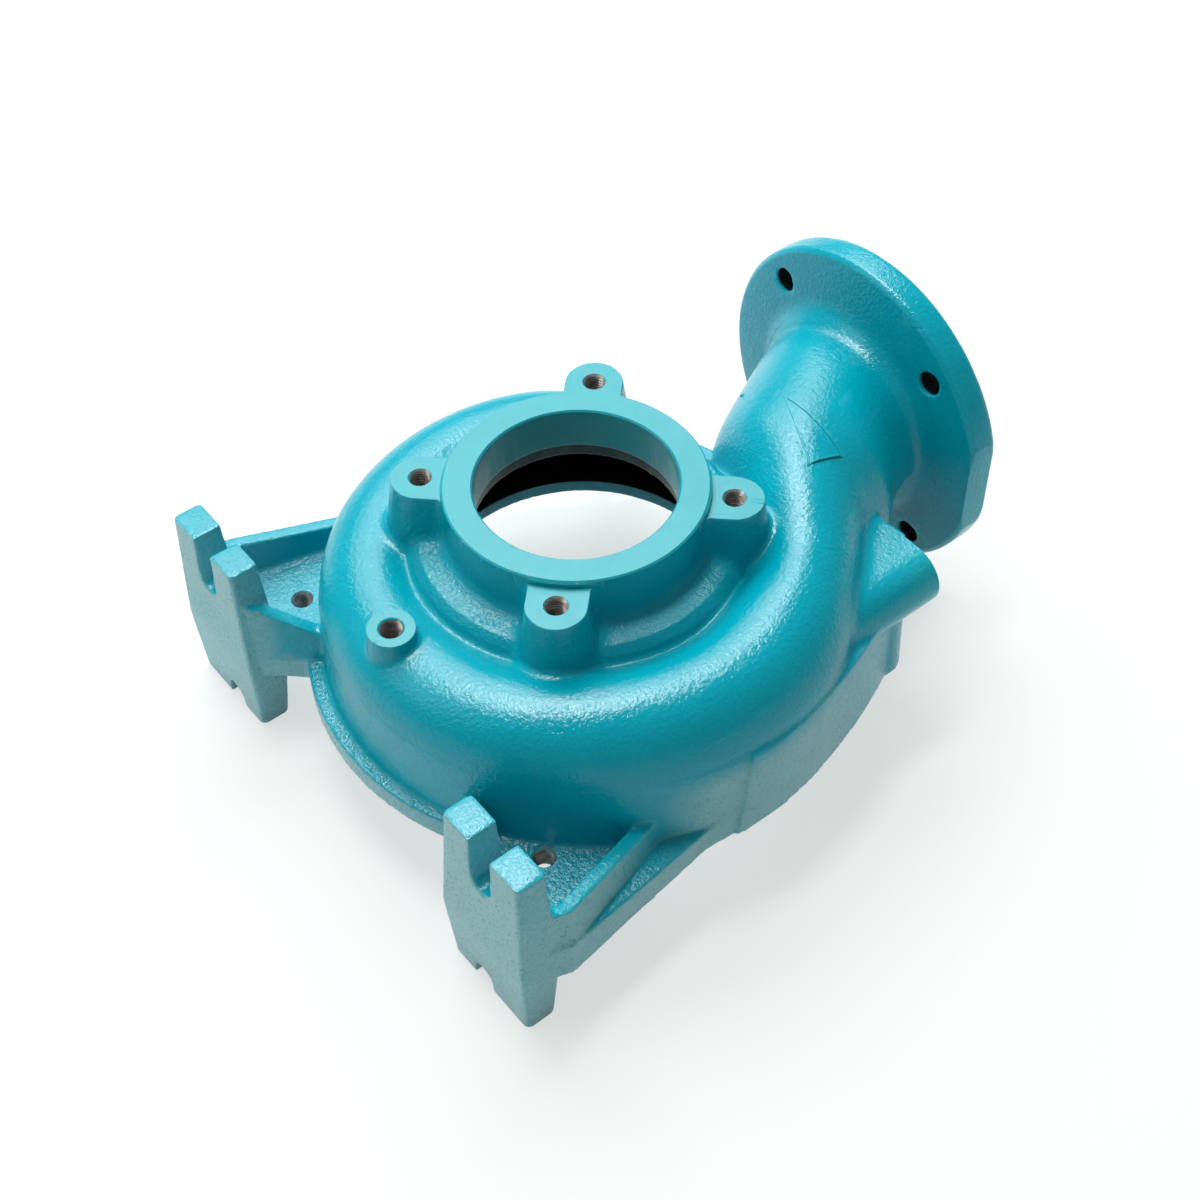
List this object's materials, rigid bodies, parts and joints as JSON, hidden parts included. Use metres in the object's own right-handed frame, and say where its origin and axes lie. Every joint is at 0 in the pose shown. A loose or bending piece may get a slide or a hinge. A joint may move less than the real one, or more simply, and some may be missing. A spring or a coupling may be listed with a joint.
{
  "type": "volute pump casing",
  "caption": "Cast volute pump casing with a turned suction ring, a swan-neck discharge nozzle to a bolted flange, and forked feet on ribbed webs.",
  "frame": {"origin": "on the pump axis, in the face that meets the motor bracket", "axes": "+Z along the pump axis towards the suction ring, +Y towards the discharge flange, the feet at -Y"},
  "size_m": [0.317, 0.3698, 0.1965],
  "materials": {
    "painted_iron": "gloss"
  },
  "bodies": {
    "root": {"volute_casing": "painted_iron"}
  },
  "joints": []
}
